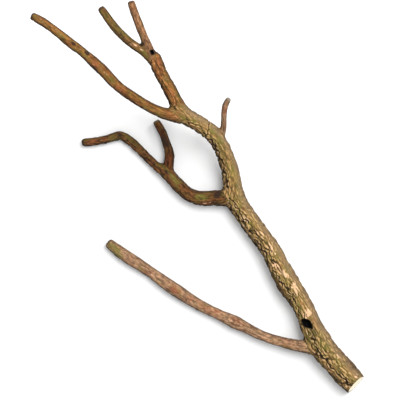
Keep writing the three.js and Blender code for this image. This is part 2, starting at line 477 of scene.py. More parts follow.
class Spine:
    """A limb's centre line, sampled every millimetre, with side directions that don't twist."""

    def __init__(self, path: tuple[Quad, ...]) -> None:
        """Runs a centripetal Catmull-Rom curve through the path's knots.

        Args:
            path: Places and radii in millimetres.
        """
        dense = self._curve(np.array(path) * MM)
        steps = np.linalg.norm(np.diff(dense[:, :3], axis=0), axis=1)
        run = np.concatenate(([0.0], np.cumsum(steps)))
        self.length = float(run[-1])
        self.lengths = np.linspace(0, self.length, max(2, round(self.length / MM)))
        even = np.stack([np.interp(self.lengths, run, dense[:, k]) for k in range(4)], axis=1)
        self.points, self.radii = even[:, :3], even[:, 3]
        along = np.gradient(self.points, axis=0)
        self.along = along / np.linalg.norm(along, axis=1, keepdims=True)
        self.up = self._carried(np.array([0.0, 0.0, 1.0]))
        self.side = np.cross(self.up, self.along)

    @staticmethod
    def _curve(knots: Array, per_span: int = 40) -> Array:
        """Samples the curve, radius and all, at equal shares of each span between knots.

        Args:
            knots: Places and radii.
            per_span: How many samples each span gets.

        Returns:
            Places and radii of the samples.
        """
        first, last = 2 * knots[0] - knots[1], 2 * knots[-1] - knots[-2]
        ring = [first, *knots, last]
        shares = np.linspace(0, 1, per_span, endpoint=False)[:, None]
        spans = []
        for before, start, end, after in zip(ring, ring[1:], ring[2:], ring[3:]):
            pairs = pairwise((before, start, end, after))
            d0, d1, d2 = (math.sqrt(np.linalg.norm((b - a)[:3])) for a, b in pairs)
            leave = ((start - before) / d0 - (end - before) / (d0 + d1) + (end - start) / d1) * d1
            arrive = ((end - start) / d1 - (after - start) / (d1 + d2) + (after - end) / d2) * d1
            cubic = 2 * start - 2 * end + leave + arrive
            square = -3 * start + 3 * end - 2 * leave - arrive
            spans.append(((cubic * shares + square) * shares + leave) * shares + start)
        return np.vstack([*spans, knots[-1:]])

    def _carried(self, up: Array) -> Array:
        """Carries a direction along the line, kept square to it and turned as little as it can be.

        Args:
            up: The direction at the root.

        Returns:
            The direction at each sample.
        """
        carried = []
        for along in self.along:
            up = up - along * np.dot(up, along)
            up = up / np.linalg.norm(up)
            carried.append(up)
        return np.array(carried)

    def index(self, length_mm: float) -> int:
        """The sample nearest to a length along the limb."""
        return int(np.clip(round(length_mm * MM / self.lengths[1]), 0, len(self.lengths) - 1))

    def nearest(self, places: Array) -> tuple[Array, Array]:
        """Finds the nearest sample to each place.

        Args:
            places: Places in metres, one in each row.

        Returns:
            The samples' indices, and the distances to them.
        """
        found, gaps = [], []
        for part in np.array_split(places.astype(np.float32), max(1, len(places) // 20000)):
            square = (part**2).sum(1)[:, None] + (self.points**2).sum(1)[None] - 2 * part @ self.points.T
            best = square.argmin(1)
            found.append(best)
            gaps.append(np.sqrt(np.maximum(square[np.arange(len(part)), best], 0)))
        return np.concatenate(found), np.concatenate(gaps)


class Shop:
    """The few modelling habits that every piece shares."""

    @staticmethod
    def mode(name: str) -> None:
        """Goes into edit mode or object mode."""
        bpy.ops.object.mode_set(mode=name)

    @staticmethod
    def deselect() -> None:
        """Leaves nothing selected or in edit mode."""
        if bpy.context.object and bpy.context.object.mode != "OBJECT":
            Shop.mode("OBJECT")
        bpy.ops.object.select_all(action="DESELECT")

    @staticmethod
    def pick(piece: Piece) -> None:
        """Selects one piece alone and makes it the active one.

        Args:
            piece: The piece.
        """
        Shop.deselect()
        piece.select_set(True)
        bpy.context.view_layer.objects.active = piece

    @staticmethod
    def face_outward() -> None:
        """Selects all in edit mode and turns every face outward."""
        bpy.ops.mesh.select_all(action="SELECT")
        bpy.ops.mesh.normals_make_consistent(inside=False)

    @staticmethod
    def turn_selection(turn: Matrix, centre: Vector) -> None:
        """Turns what is selected in edit mode about a centre.

        Args:
            turn: The rotation.
            centre: The place that stays still.
        """
        for axis, angle in zip("XYZ", turn.to_euler("XYZ")):
            # With no window the operator turns the other way round.
            bpy.ops.transform.rotate(value=-angle, orient_axis=axis, center_override=centre)

    @staticmethod
    def modify(piece: Piece, kind: str, **settings: object) -> None:
        """Adds a modifier to the piece, sets it and applies it.

        Args:
            piece: The piece.
            kind: The modifier's type.
            **settings: The modifier's settings.
        """
        Shop.pick(piece)
        modifier = piece.modifiers.new("work", kind)
        for name, value in settings.items():
            setattr(modifier, name, value)
        bpy.ops.object.modifier_apply(modifier=modifier.name)

    @staticmethod
    def select_faces(piece: Piece, chosen: Array) -> None:
        """Goes into edit mode with only the chosen faces selected.

        Args:
            piece: The piece to edit.
            chosen: One truth value for each face.
        """
        Shop.pick(piece)
        Shop.mode("EDIT")
        bpy.ops.mesh.select_mode(type="FACE")
        bpy.ops.mesh.select_all(action="DESELECT")
        Shop.mode("OBJECT")
        piece.data.polygons.foreach_set("select", chosen)
        Shop.mode("EDIT")

    @staticmethod
    def rows(items: bpy.types.bpy_prop_collection, name: str) -> Array:
        """Reads a vector of every item, one in each row.

        Args:
            items: The vertices, faces or normals.
            name: What to read of them.

        Returns:
            The vectors.
        """
        flat = np.empty(len(items) * 3, dtype=np.float32)
        items.foreach_get(name, flat)
        return flat.reshape(-1, 3)

    @staticmethod
    def store(piece: Piece, **layers: Array) -> None:
        """Stores a number, a vector or a colour for each vertex as a named attribute.

        Args:
            piece: The piece.
            **layers: The values under each attribute's name, one in each row.
        """
        kinds = {1: ("FLOAT", "value"), 3: ("FLOAT_VECTOR", "vector"), 4: ("FLOAT_COLOR", "color")}
        for name, values in layers.items():
            flat = np.ascontiguousarray(values, dtype=np.float32).ravel()
            kind, key = kinds[len(flat) // len(piece.data.vertices)]
            piece.data.attributes.new(name, kind, "POINT").data.foreach_set(key, flat)


class Kind(Enum):
    """The kinds of node in use: type, sockets that take values in turn, socket that gives, settings."""

    TIMES = ("ShaderNodeMath", (0, 1), 0, {"operation": "MULTIPLY"})
    OVER = ("ShaderNodeMath", (0, 1), 0, {"operation": "DIVIDE"})
    MINUS = ("ShaderNodeMath", (0, 1), 0, {"operation": "SUBTRACT"})
    TIMES_PLUS = ("ShaderNodeMath", (0, 1, 2), 0, {"operation": "MULTIPLY_ADD"})
    SINE = ("ShaderNodeMath", (0,), 0, {"operation": "SINE"})
    EASED = (
        "ShaderNodeMapRange",
        ("Value", "From Min", "From Max", "To Min", "To Max"),
        "Result",
        {"interpolation_type": "SMOOTHSTEP"},
    )
    STRETCHED = ("ShaderNodeVectorMath", (0, 1), 0, {"operation": "MULTIPLY"})
    ADDED = ("ShaderNodeVectorMath", (0, 1), 0, {"operation": "ADD"})
    TAKEN = ("ShaderNodeVectorMath", (0, 1), 0, {"operation": "SUBTRACT"})
    LENGTH = ("ShaderNodeVectorMath", (0,), "Value", {"operation": "LENGTH"})
    SCALED = ("ShaderNodeVectorMath", (0, "Scale"), 0, {"operation": "SCALE"})
    FIRST = ("ShaderNodeSeparateXYZ", (0,), 0, {})
    SECOND = ("ShaderNodeSeparateXYZ", (0,), 1, {})
    GREY = ("ShaderNodeCombineXYZ", (0, 1, 2), 0, {})
    NOISE = ("ShaderNodeTexNoise", ("Vector", "Detail", "Roughness", "Scale"), 0, {})
    DRIFT = ("ShaderNodeTexNoise", ("Vector", "Detail", "Roughness", "Scale"), "Color", {})
    CELLS = ("ShaderNodeTexVoronoi", ("Vector", "Scale"), "Color", {"feature": "F1"})
    JOINTS = ("ShaderNodeTexVoronoi", ("Vector", "Scale"), "Distance", {"feature": "DISTANCE_TO_EDGE"})
    MIX = ("ShaderNodeMix", (0, 6, 7), 2, {"data_type": "RGBA"})
    TINT = ("ShaderNodeMix", (0, 6, 7), 2, {"data_type": "RGBA", "blend_type": "MULTIPLY"})
    PLACE = ("ShaderNodeTexCoord", (), "Object", {})
    BUMP = ("ShaderNodeBump", ("Height", "Strength", "Distance"), 0, {})
    MARK = ("ShaderNodeAttribute", (), "Fac", {"attribute_type": "GEOMETRY"})
    MARK_VECTOR = ("ShaderNodeAttribute", (), "Vector", {"attribute_type": "GEOMETRY"})
    MARK_COLOUR = ("ShaderNodeAttribute", (), "Color", {"attribute_type": "GEOMETRY"})
    STORED = ("GeometryNodeInputNamedAttribute", ("Name",), "Attribute", {})
    AROUND = ("GeometryNodeBlurAttribute", ("Value", "Iterations"), "Value", {"data_type": "FLOAT"})
    NORMAL = ("GeometryNodeInputNormal", (), 0, {})
    KEEP = (
        "GeometryNodeStoreNamedAttribute",
        ("Geometry", "Name", "Value"),
        0,
        {"data_type": "FLOAT", "domain": "POINT"},
    )
    MOVE = ("GeometryNodeSetPosition", ("Geometry", "Offset"), 0, {})


class Nodes:
    """Adds nodes to a tree, for a material or for geometry alike."""

    def __init__(self, tree: bpy.types.NodeTree) -> None:
        """Starts from the tree's own nodes."""
        self.tree = tree
        self.shading = tree.bl_idname == "ShaderNodeTree"

    def fill(self, node: bpy.types.Node, inputs: dict) -> None:
        """Fills a node's sockets.

        Args:
            node: The node.
            inputs: For each socket, a socket to link to it or its value.
        """
        for key, value in inputs.items():
            if isinstance(value, Socket):
                self.tree.links.new(value, node.inputs[key])
            else:
                node.inputs[key].default_value = value

    def add(self, kind: Kind, *values: Socket | float | str | tuple, **settings: object) -> Socket:
        """Adds a node with its settings and links.

        Args:
            kind: The kind of node.
            *values: What goes into its sockets in turn: a socket to link, or a value.
            **settings: Settings of this node alone.

        Returns:
            The socket that it gives.
        """
        type_name, takes, gives, shared = kind.value
        node = self.tree.nodes.new(type_name)
        for name, value in (shared | settings).items():
            setattr(node, name, value)
        self.fill(node, dict(zip(takes, values)))
        return node.outputs[gives]

    def read(self, name: str, kind: Kind = Kind.MARK) -> Socket:
        """Reads what is stored on the mesh.

        Args:
            name: The attribute's name.
            kind: MARK for a number, MARK_VECTOR or MARK_COLOUR.

        Returns:
            Its value.
        """
        if self.shading:
            return self.add(kind, attribute_name=name)
        data_type = "FLOAT" if kind is Kind.MARK else "FLOAT_VECTOR"
        return self.add(Kind.STORED, name, data_type=data_type)


class BarkPattern:
    """The bark's cracks and grain in one tree, from the limb's unbent coordinates.

    Shape and colour draw the same pattern, so that the dark cracks lie where the bark is deep.
    """

    def __init__(self, nodes: Nodes, furrows: Furrows) -> None:
        """Lays out the coordinates that the pattern is drawn in.

        Args:
            nodes: The tree.
            furrows: The pattern's sizes.
        """
        self.nodes = nodes
        self.furrows = furrows
        self.grain = nodes.read("grain", Kind.MARK_VECTOR)
        # Where cracks are drawn, the grain strays, so that none runs straight.
        drift = nodes.add(Kind.DRIFT, self.sized(self.grain, furrows.drift), 2.0, 0.55, 1.0)
        centred = nodes.add(Kind.TAKEN, drift, (0.5, 0.5, 0.5))
        stray = nodes.add(Kind.STRETCHED, centred, tuple(size * MM for size in furrows.wander))
        self.wandering = nodes.add(Kind.ADDED, self.grain, stray)

    def sized(self, vector: Socket, sizes: Triple) -> Socket:
        """Coordinates in which each size in millimetres is one unit."""
        return self.nodes.add(Kind.STRETCHED, vector, tuple(1 / (size * MM) for size in sizes))

    def joints(self, size: Triple) -> Socket:
        """Distance from the joint between cells of the given size, about 0.5 in their middle."""
        return self.nodes.add(Kind.JOINTS, self.sized(self.wandering, size), 1.0)

    def cracks(self) -> Socket:
        """Main cracks, 1 in their middle, that open and close along their way.

        Returns:
            The value.
        """
        add = self.nodes.add
        line = add(Kind.EASED, self.joints(self.furrows.plate), 0.12, 0.03)
        broken = add(Kind.NOISE, self.sized(self.wandering, (8, 8, 13)), 1.0, 0.5, 1.0)
        return add(Kind.TIMES, line, add(Kind.EASED, broken, 0.45, 0.56))

    def plates(self) -> Socket:
        """A level for each bark plate, from 0 to 1."""
        cells = self.nodes.add(Kind.CELLS, self.sized(self.wandering, self.furrows.plate), 1.0)
        return self.nodes.add(Kind.FIRST, cells)

    def speckle(self, wide: float, long: float, detail: float = 3.0) -> Socket:
        """Uneven noise with lumps of the given width and length, in millimetres."""
        return self.nodes.add(Kind.NOISE, self.sized(self.grain, (wide, wide, long)), detail, 0.6, 1.0)

    def streaks(self) -> Socket:
        """Fine streaks along the grain, from 0 to 1."""
        return self.speckle(*self.furrows.streak)

    def specks(self) -> Socket:
        """Small scattered specks, 1 in their middle.

        Returns:
            The value.
        """
        add = self.nodes.add
        cells = add(Kind.CELLS, self.sized(self.grain, (3.4, 3.4, 6.0)), 1.0)
        spot = add(Kind.EASED, cells.node.outputs["Distance"], 0.34, 0.18)
        return add(Kind.TIMES, spot, add(Kind.EASED, add(Kind.SECOND, cells), 0.55, 0.7))


@dataclass(frozen=True)
class BarkRelief:
    """Raises the bark as real shape, with geometry nodes.

    Attributes:
        furrows: The pattern's sizes.
        plate_step: How much the plates differ in height, in millimetres.
        crumb_height: Height of the crumbs on them, in millimetres.
        streak_height: Height of the fine streaks, in millimetres.
        swelling: Height of the limb's broad lumps, as a share of its radius.
        around: How many rounds of blur tell what stands out from what lies round it.
    """

    furrows: Furrows = Furrows()
    plate_step: float = 0.8
    crumb_height: float = 0.9
    streak_height: float = 0.7
    swelling: float = 0.3
    around: int = 7

    def height(self, nodes: Nodes) -> Socket:
        """Draws the bark's height over the smooth limb.

        Args:
            nodes: The tree to draw it in.

        Returns:
            The height in metres; its mean is near zero.
        """
        add = nodes.add
        pattern = BarkPattern(nodes, self.furrows)
        furrow = nodes.read("furrow")
        deep = add(Kind.TIMES, pattern.cracks(), nodes.read("crackle"))
        braid = add(Kind.EASED, pattern.joints(self.furrows.braid), 0.02, 0.3, -0.7, 0.3)
        plate = add(Kind.MINUS, pattern.plates(), 0.5)
        lumps = add(Kind.MINUS, pattern.speckle(22, 34, 2.0), 0.5)
        crumbs = add(Kind.MINUS, pattern.speckle(2.6, 5), 0.5)
        streaks = add(Kind.MINUS, pattern.streaks(), 0.5)
        rough = add(Kind.EASED, furrow, 0.0, 1.0, 0.5, 1.3)
        total = add(Kind.TIMES, deep, -self.furrows.depth * MM)
        for part, size in (
            (add(Kind.TIMES, braid, furrow), self.furrows.braid_depth * MM),
            (add(Kind.TIMES, plate, furrow), self.plate_step * MM),
            (add(Kind.TIMES, crumbs, rough), self.crumb_height * MM),
            (add(Kind.TIMES, lumps, nodes.read("girth")), self.swelling),
            (streaks, self.streak_height * MM),
            (nodes.read("rise"), MM),
        ):
            total = add(Kind.TIMES_PLUS, part, size, total)
        return total

    def group(self) -> bpy.types.NodeTree:
        """Builds the nodes that move the surface, and that keep how far it stands out, in millimetres.

        Returns:
            The node group.
        """
        tree = bpy.data.node_groups.new("bark_relief", "GeometryNodeTree")
        for way in ("INPUT", "OUTPUT"):
            tree.interface.new_socket("Geometry", in_out=way, socket_type="NodeSocketGeometry")
        nodes = Nodes(tree)
        add = nodes.add
        height = self.height(nodes)
        above = add(Kind.MINUS, height, add(Kind.AROUND, height, self.around))
        source = tree.nodes.new("NodeGroupInput").outputs[0]
        kept = add(Kind.KEEP, source, "crest", add(Kind.OVER, above, MM))
        moved = add(Kind.MOVE, kept, add(Kind.SCALED, add(Kind.NORMAL), height))
        nodes.fill(tree.nodes.new("NodeGroupOutput"), {0: moved})
        return tree

    def raise_on(self, piece: Piece) -> None:
        """Applies the relief to a piece."""
        Shop.modify(piece, "NODES", node_group=self.group())


def start_material(name: str) -> tuple[bpy.types.Material, Nodes, bpy.types.Node]:
    """Adds a material.

    Args:
        name: What the real material is called.

    Returns:
        The material, its nodes and its shader.
    """
    material = bpy.data.materials.new(name)
    material.use_nodes = True
    return material, Nodes(material.node_tree), material.node_tree.nodes["Principled BSDF"]


@dataclass(frozen=True)
class BarkFinish:
    """Weathered bark: tan ridges, olive tints, dark cracks, and pale wood where it is worn bare, with
    painted shade on its sides, in its hollows and gullies, and painted highlights on some crests.
    """

    furrows: Furrows = Furrows()
    moss: str = "#6B6629"
    bare: str = "#E4BC93"
    stain: str = "#2C1D14"
    rust: str = "#8A4E31"
    crest_wear_highlight_tint: Triple = (1.85, 2.0, 2.45)
    painted_shade: str = "#1A130C"
    speck: str = "#CFA078"
    right_flank_grey: str = "#8E745A"
    hollow_shade: str = "#060403"

    def broad_tones(self, pattern: BarkPattern, ridge: Socket) -> Socket:
        """The bark's colour before any small mark.

        Args:
            pattern: The bark's pattern in the material.
            ridge: The colour of the worn faces.

        Returns:
            The colour.
        """
        add, read = pattern.nodes.add, pattern.nodes.read
        hollow = read("hollow", Kind.MARK_COLOUR)
        colour = add(Kind.MIX, add(Kind.EASED, pattern.streaks(), 0.62, 0.38), ridge, hollow)
        # Each plate weathers on its own, and small areas differ too.
        tint = add(Kind.EASED, pattern.plates(), 0.0, 1.0, 0.8, 1.15)
        tint = add(Kind.TIMES, tint, add(Kind.EASED, pattern.speckle(3.6, 7), 0.37, 0.63, 0.6, 1.42))
        colour = add(Kind.TINT, 1.0, colour, add(Kind.GREY, tint, tint, tint))
        rusty = add(Kind.NOISE, pattern.sized(add(Kind.PLACE), (14, 14, 14)), 2.0, 0.6, 1.0)
        rusty = add(Kind.EASED, add(Kind.TIMES_PLUS, read("rust"), 0.3, rusty), 0.5, 0.85, 0.0, 0.75)
        colour = add(Kind.MIX, rusty, colour, linear(self.rust))
        mossy = add(Kind.TIMES_PLUS, read("moss"), 0.5, pattern.speckle(9, 22))
        colour = add(Kind.MIX, add(Kind.EASED, mossy, 0.52, 0.95, 0.0, 0.85), colour, linear(self.moss))
        return add(Kind.MIX, add(Kind.TIMES, read("right_flank_grey"), 0.55), colour, linear(self.right_flank_grey))

    def colour(self, pattern: BarkPattern) -> Socket:
        """The bark's colour, from the broad tones to the small marks on them, with painted shade and
        painted highlights.

        Args:
            pattern: The bark's pattern in the material.

        Returns:
            The colour.
        """
        add, read = pattern.nodes.add, pattern.nodes.read
        ridge, crack = (read(part, Kind.MARK_COLOUR) for part in ("ridge", "crack"))
        colour = self.broad_tones(pattern, ridge)
        crest = read("crest")
        # Only some crests are made pale: partly wear, partly painted highlight on ridges that catch the
        # light.
        wear_and_highlight = add(Kind.EASED, pattern.speckle(5, 9, 2.0), 0.38, 0.58, 0.2, 0.85)
        wear_and_highlight = add(Kind.TIMES, add(Kind.EASED, crest, 0.02, 0.35), wear_and_highlight)
        pale = add(Kind.TINT, 1.0, ridge, (*self.crest_wear_highlight_tint, 1.0))
        colour = add(Kind.MIX, wear_and_highlight, colour, pale)
        specks = add(Kind.TIMES, pattern.specks(), read("speck"))
        colour = add(Kind.MIX, add(Kind.TIMES, specks, 0.55), colour, linear(self.speck))
        ragged = add(Kind.TIMES_PLUS, crest, 0.6, pattern.speckle(3.2, 8, 4.0))
        # The stains include painted shade round the rotted stub.
        for name, tone in (("stain", self.stain), ("bare", self.bare)):
            share = add(Kind.TIMES_PLUS, read(name), 0.75, ragged)
            colour = add(Kind.MIX, add(Kind.EASED, share, 0.8, 1.15, 0.0, 0.9), colour, linear(tone))
        # Painted shade: every hollow lower than the bark round it takes the dark crack colour.
        colour = add(Kind.MIX, add(Kind.EASED, crest, -0.04, -0.5, 0.0, 0.75), colour, crack)
        # The deep cracks take the dark crack colour, heaviest on the left flank, where it is partly
        # painted shade.
        deep = add(Kind.TIMES, pattern.cracks(), read("crackle"), use_clamp=True)
        colour = add(Kind.MIX, add(Kind.TIMES, deep, 0.8), colour, crack)
        # Painted shade: the gullies, and the sides and undersides that turn from the light, are darkened
        # towards near black.
        side = add(Kind.TIMES, read("side"), read("edge"))
        for wet, most in ((read("gully"), 0.95), (side, 0.7), (read("underside"), 0.9)):
            colour = add(Kind.MIX, add(Kind.TIMES, wet, most), colour, linear(self.painted_shade))
        # The limbs' ends take their own tone; the dark ends are partly painted shade on the rounded tip.
        colour = add(Kind.MIX, read("tip"), colour, read("tip_tone", Kind.MARK_COLOUR))
        # Painted shade: the knot hole and the rotted stub are painted near black inside.
        return add(Kind.MIX, read("hollowed"), colour, linear(self.hollow_shade))

    def material(self) -> bpy.types.Material:
        """Builds the material.

        Returns:
            The material.
        """
        material, nodes, shader = start_material("right_flank_grey_bark")
        pattern = BarkPattern(nodes, self.furrows)
        crumbs = pattern.speckle(1.2, 3, 4.0)
        level = nodes.add(Kind.TIMES_PLUS, pattern.streaks(), 0.8, crumbs)
        inputs = {
            "Base Color": self.colour(pattern),
            "Normal": nodes.add(Kind.BUMP, level, 0.8, 0.0008),
            "Roughness": nodes.add(Kind.EASED, crumbs, 0.3, 0.7, 0.7, 0.95),
            "Specular IOR Level": 0.2,
        }
        nodes.fill(shader, inputs)
        return material


@dataclass(frozen=True)
class SawnWoodFinish:
    """Pale sawn sapwood with growth rings, under a thin dark rim of bark.

    Attributes:
        wood: The colour of the wood.
        ring: The colour of the rings.
        rim: The colour of the bark's rim.
        spacing: How far apart the rings are, in metres.
    """

    wood: str = "#FFF4DA"
    ring: str = "#E9D6B3"
    rim: str = "#6B4A2C"
    spacing: float = 0.0019

    def material(self) -> bpy.types.Material:
        """Builds the material.

        Returns:
            The material.
        """
        material, nodes, shader = start_material("sawn_wood")
        add = nodes.add
        grain = nodes.read("grain", Kind.MARK_VECTOR)
        across = add(Kind.STRETCHED, grain, (1.0, 1.0, 0.0))
        uneven = add(Kind.NOISE, add(Kind.STRETCHED, across, (1 / 0.008,) * 3), 2.0, 0.5, 1.0)
        radius = add(Kind.TIMES_PLUS, uneven, 0.0016, add(Kind.LENGTH, across))
        rings = add(Kind.SINE, add(Kind.TIMES, radius, 2 * math.pi / self.spacing))
        rings = add(Kind.EASED, rings, 0.3, 1.0, 0.0, 0.6)
        colour = add(Kind.MIX, rings, linear(self.wood), linear(self.ring))
        rim = add(Kind.EASED, add(Kind.OVER, radius, nodes.read("girth")), 0.93, 0.98)
        saw_marks = add(Kind.STRETCHED, grain, (1 / 0.0008, 1 / 0.008, 1 / 0.008))
        saw_marks = add(Kind.NOISE, saw_marks, 2.0, 0.5, 1.0)
        inputs = {
            "Base Color": add(Kind.MIX, rim, colour, linear(self.rim)),
            "Normal": add(Kind.BUMP, saw_marks, 0.5, 0.0004),
            "Roughness": 0.75,
            "Specular IOR Level": 0.25,
        }
        nodes.fill(shader, inputs)
        return material


@dataclass(frozen=True)
class Skin:
    """The grown branch's vertices.

    Attributes:
        places: Where they are, one in each row.
        normals: Which way they face.
        owner: The row of the limb that each belongs to.
        samples: For each limb, the sample of its spine nearest to each vertex.
        share: How much of each limb's bark each vertex has.
    """

    places: Array
    normals: Array
    owner: Array
    samples: list[Array]
    share: Array

    @property
    def facing_up(self) -> Array:
        """How surely each vertex faces up, from 0 to 1."""
        return ease(self.normals[:, 2], -0.3, 0.1)

    def blend(self, values: list[float] | list[Quad]) -> Array:
        """One value of each limb, blended where limbs meet."""
        return self.share.T @ np.array(values)


@dataclass
class Branch:
    """The whole branch, from its limbs to its sawn pieces.

    Attributes:
        stem: The stem.
        side_limbs: The limbs and twigs that it bears.
        patches: Local changes of the bark.
        hollows: The knot hole and the rotted stub.
        ring: The crack round the upper stem.
        gullies: The long deep furrows.
        relief, bark, sawn: The bark's shape and look, and the sawn butt's look.
        section_step: Length of each extrusion, in millimetres.
        section_sides: Corners of the extruded circle.
        tip_round: Length over which a tip is rounded off, as a share of its radius.
        shoulder: Where along that the tip's last section but one lies, and how wide it is.
        tip_end: How wide the tip's last section is, as a share of its radius.
        crotch: Where a fork is smoothed, as a share of the limb's cut, and how far, in radii.
        crotch_rounds: How often it is smoothed.
        coarse: Voxel size at which the limbs are grown together, in millimetres.
        fine: Voxel size of the finished skin, in millimetres.
        butt_tilt: How far the sawn face leans up, in degrees.
        butt_trim: Where the saw went in, as a share of the stem's first span.
        blend: How softly one limb's bark turns into the next one's.
        saw: How near two places may be and still be parted by the saw, in metres.
        spines: The limbs' centre lines, under the limbs' names.
    """

    stem: Limb = STEM
    side_limbs: tuple[Limb, ...] = SIDE_LIMBS
    patches: tuple[Patch, ...] = PATCHES
    hollows: tuple[Hollow, ...] = (KNOT_HOLE, STUB_HOLLOW)
    ring: RingCrack = RingCrack()
    gullies: tuple[Gully, ...] = GULLIES
    relief: BarkRelief = BarkRelief()
    bark: BarkFinish = BarkFinish()
    sawn: SawnWoodFinish = SawnWoodFinish()
    section_step: float = 9.0
    section_sides: int = 14
    tip_round: float = 0.45
    shoulder: Pair = (0.35, 0.93)
    tip_end: float = 0.68
    crotch: Pair = (0.55, 1.7)
    crotch_rounds: int = 10
    coarse: float = 1.7
    fine: float = 0.9
    butt_tilt: float = 17.0
    butt_trim: float = 0.8
    blend: float = 0.12
    saw: float = 1e-7
    spines: dict[str, Spine] = field(default_factory=dict)

    @property
    def limbs(self) -> tuple[Limb, ...]:
        """All the limbs, the stem first."""
        return (self.stem, *self.side_limbs)

    def extrude_limb(self, limb: Limb) -> Piece:
        """Models one limb by extruding a circle along its spine.

        Args:
            limb: The limb.

        Returns:
            The closed tube.
        """
        spine = self.spines[limb.name]
        tip = spine.length / MM
        round_off = float(spine.radii[-1]) / MM * self.tip_round
        count = max(3, round((tip - round_off) / self.section_step))
        stops = [spine.index(length) for length in np.linspace(0, tip - round_off, count + 1)]
        # Two narrower sections close together round the tip off.
        stops += [spine.index(tip - round_off * self.shoulder[0]), spine.index(tip)]
        girths = [float(radius) for radius in spine.radii[stops]]
        girths[-2:] = girths[-2] * self.shoulder[1], girths[-1] * self.tip_end
        # Smoothing draws a section in, so that it is drawn a little large.
        swell = 3 / (2 + math.cos(2 * math.pi / self.section_sides))
        first = stops[0]
        facing = Vector(spine.along[first]).to_track_quat("Z", "Y").to_euler()
        Shop.deselect()
        bpy.ops.mesh.primitive_circle_add(
            vertices=self.section_sides,
            radius=girths[0] * swell,
            fill_type="NGON",
            location=spine.points[first],
            rotation=facing,
        )
        tube = bpy.context.object
        tube.name = limb.name + "_tube"
        Shop.mode("EDIT")
        for (here, girth), (there, next_girth) in pairwise(zip(stops, girths)):
            step = Vector(spine.points[there] - spine.points[here])
            bpy.ops.mesh.extrude_region_move(TRANSFORM_OT_translate={"value": step})
            bend = Vector(spine.along[here]).rotation_difference(Vector(spine.along[there]))
            centre = Vector(spine.points[there])
            Shop.turn_selection(bend.to_matrix(), centre)
            grow = next_girth / girth
            bpy.ops.transform.resize(value=(grow, grow, grow), center_override=centre)
        bpy.ops.mesh.inset(thickness=girths[-1] * 0.4, depth=0)
        Shop.face_outward()
        Shop.mode("OBJECT")
        bpy.ops.object.transform_apply(location=True, rotation=True, scale=True)
        Shop.modify(tube, "SUBSURF", levels=2)
        return tube

    def grow_together(self, tubes: list[Piece]) -> Piece:
        """Joins the tubes into one skin and rounds the crotches of the forks.

        Args:
            tubes: The limbs' tubes.

        Returns:
            The whole branch, still smooth.
        """
        Shop.pick(tubes[0])
        for tube in tubes:
            tube.select_set(True)
        bpy.ops.object.join()
        wood = bpy.context.object
        Shop.modify(wood, "REMESH", mode="VOXEL", voxel_size=self.coarse * MM)
        middles = Shop.rows(wood.data.polygons, "center")
        chosen = np.zeros(len(middles), dtype=bool)
        for limb in self.side_limbs:
            spine = self.spines[limb.name]
            start = spine.index(limb.cut * self.crotch[0])
            away = np.linalg.norm(middles - spine.points[start], axis=1)
            chosen |= away < spine.radii[start] * self.crotch[1]
        Shop.select_faces(wood, chosen)
        bpy.ops.mesh.vertices_smooth(factor=0.5, repeat=self.crotch_rounds)
        Shop.mode("OBJECT")
        return wood

    def cut_hollows(self, wood: Piece) -> None:
        """Cuts the knot hole and the rotted stub, and makes the skin fine enough for the bark.

        Args:
            wood: The branch.
        """
        for hollow in self.hollows:
            cutter = hollow.cutter()
            Shop.modify(wood, "BOOLEAN", operation="DIFFERENCE", object=cutter, solver="EXACT")
            bpy.data.objects.remove(cutter)
        Shop.modify(wood, "REMESH", mode="VOXEL", voxel_size=self.fine * MM, use_smooth_shade=True)

    def describe(self, wood: Piece) -> None:
        """Stores on each vertex which limb it belongs to and what its bark is like there.

        Args:
            wood: The branch.
        """
        places = Shop.rows(wood.data.vertices, "co")
        reach = np.empty((len(self.limbs), len(places)))
        samples = []
        for row, limb in enumerate(self.limbs):
            spine = self.spines[limb.name]
            index, gap = spine.nearest(places)
            samples.append(index)
            # Inside its bearer a side limb gives way, so that the bearer's bark runs on unbroken.
            yielding = 0.5 * ease(spine.lengths[index], limb.cut * MM, 0.0) if limb.cut else 0.0
            reach[row] = gap / spine.radii[index] * (1 + yielding)
        share = np.exp((reach.min(0) - reach) / self.blend)
        share /= share.sum(0)
        normals = Shop.rows(wood.data.vertex_normals, "vector")
        skin = Skin(places, normals, reach.argmin(0), samples, share)
        layers = self._grain(skin) | self._tones(skin) | self._patches(skin)
        layers |= self._furrows(skin, layers.pop(Mark.SMOOTH.value))
        # How far each vertex lies in the knot hole and the rotted stub, which are painted near black as
        # shade.
        layers["hollowed"] = sum(hollow.holds(places / MM) for hollow in self.hollows)
        Shop.store(wood, **layers)

    def _grain(self, skin: Skin) -> Layers:
        """Works out each vertex's place on its limb as if the limb were straight.

        Args:
            skin: The branch's skin.

        Returns:
            The layers grain, girth and tip.
        """
        grain = np.empty_like(skin.places)
        girth = np.empty(len(skin.places))
        tip = np.zeros(len(skin.places))
        for row, limb in enumerate(self.limbs):
            mine = skin.owner == row
            spine, index = self.spines[limb.name], skin.samples[row][mine]
            away = skin.places[mine] - spine.points[index]
            across = (away * spine.side[index]).sum(1)
            above = (away * spine.up[index]).sum(1)
            run = spine.lengths[index] + (away * spine.along[index]).sum(1)
            # Each limb draws its bark from its own part of the pattern.
            grain[mine] = np.stack([across, above, run + row * 1.3], axis=1)
            girth[mine] = spine.radii[index]
            tip[mine] = 0.85 * ease(run - spine.length, -0.0045, -0.0012) * (row > 0)
        return {"grain": grain, "girth": girth, "tip": tip}

